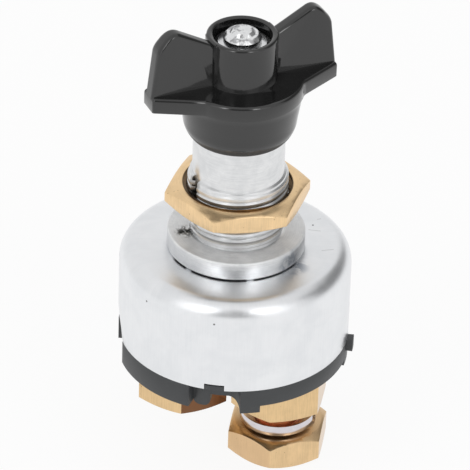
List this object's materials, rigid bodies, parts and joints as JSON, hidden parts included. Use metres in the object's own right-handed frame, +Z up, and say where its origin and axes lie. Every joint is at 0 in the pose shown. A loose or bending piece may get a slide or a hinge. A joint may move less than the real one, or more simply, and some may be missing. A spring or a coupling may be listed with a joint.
{
  "type": "battery disconnect switch",
  "caption": "Round metal-cased battery disconnect switch with a threaded neck, panel nut, black wing knob and brass hexagon terminals underneath.",
  "frame": {"origin": "centre of the flange's top face, where the panel seats, on the neck's axis", "axes": "+Z up the threaded neck to the wing knob; +X to the right terminal's side, which carries the bolt"},
  "size_m": [0.0523, 0.051, 0.1097],
  "materials": {
    "zinc_can": "bright zinc plate on drawn steel",
    "zinc_bush": "zinc plate on turned steel",
    "steel_spindle": "zinc plate, riveted end bright",
    "steel_small": "zinc plate",
    "spring_steel": "spring steel",
    "split_washer_zinc": "bright zinc plate",
    "brass_nut": "turned brass, unpolished",
    "brass_terminal": "turned brass",
    "brass_bolt": "turned brass",
    "copper_bridge": null,
    "silver_contact": "silver contact metal",
    "black_knob": "moulded, half gloss",
    "black_base": "moulded, matt",
    "cam_plastic": "moulded insulating plastic",
    "seal_rubber": "rubber"
  },
  "bodies": {
    "switch_body": {"housing_can": "zinc_can", "mounting_bush": "zinc_bush", "base_insulator": "black_base", "left_terminal": "brass_terminal", "right_terminal": "brass_terminal", "fixed_contacts": "silver_contact", "return_spring": "spring_steel"},
    "knob": {"spindle": "steel_spindle", "spindle_seal": "seal_rubber", "thrust_washer": "steel_small", "wing_knob": "black_knob", "knob_washer": "steel_small", "cam_rotor": "cam_plastic", "rotor_clip": "spring_steel"},
    "contacts": {"contact_carrier": "cam_plastic", "pressure_spring": "spring_steel", "contact_bridge": "copper_bridge", "bridge_contacts": "silver_contact", "carrier_clip": "spring_steel"},
    "nut": {"panel_nut": "brass_nut"},
    "bolt": {"terminal_bolt": "brass_bolt", "lock_washer": "split_washer_zinc"}
  },
  "joints": [
    {"name": "knob_turn", "type": "hinge", "parent": "switch_body", "child": "knob", "pos_m": [0, 0, 0], "axis": [0, 0, -1], "range_deg": [0, 90]},
    {"name": "contact_slide", "type": "slide", "parent": "switch_body", "child": "contacts", "axis": [0, 0, -1], "range_m": [0, 0.0025], "deforming": ["return_spring"]},
    {"name": "nut_turn", "type": "hinge", "parent": "switch_body", "child": "nut", "pos_m": [0, 0, 0.0093], "axis": [0, 0, 1], "continuous": true},
    {"name": "bolt_turn", "type": "hinge", "parent": "switch_body", "child": "bolt", "pos_m": [0.01063, -0.00121, -0.05], "axis": [0, 0, 1], "continuous": true}
  ],
  "couplings": [
    {"joint": "knob_turn", "follows": "contact_slide", "rad_per_m": 628.32}
  ]
}
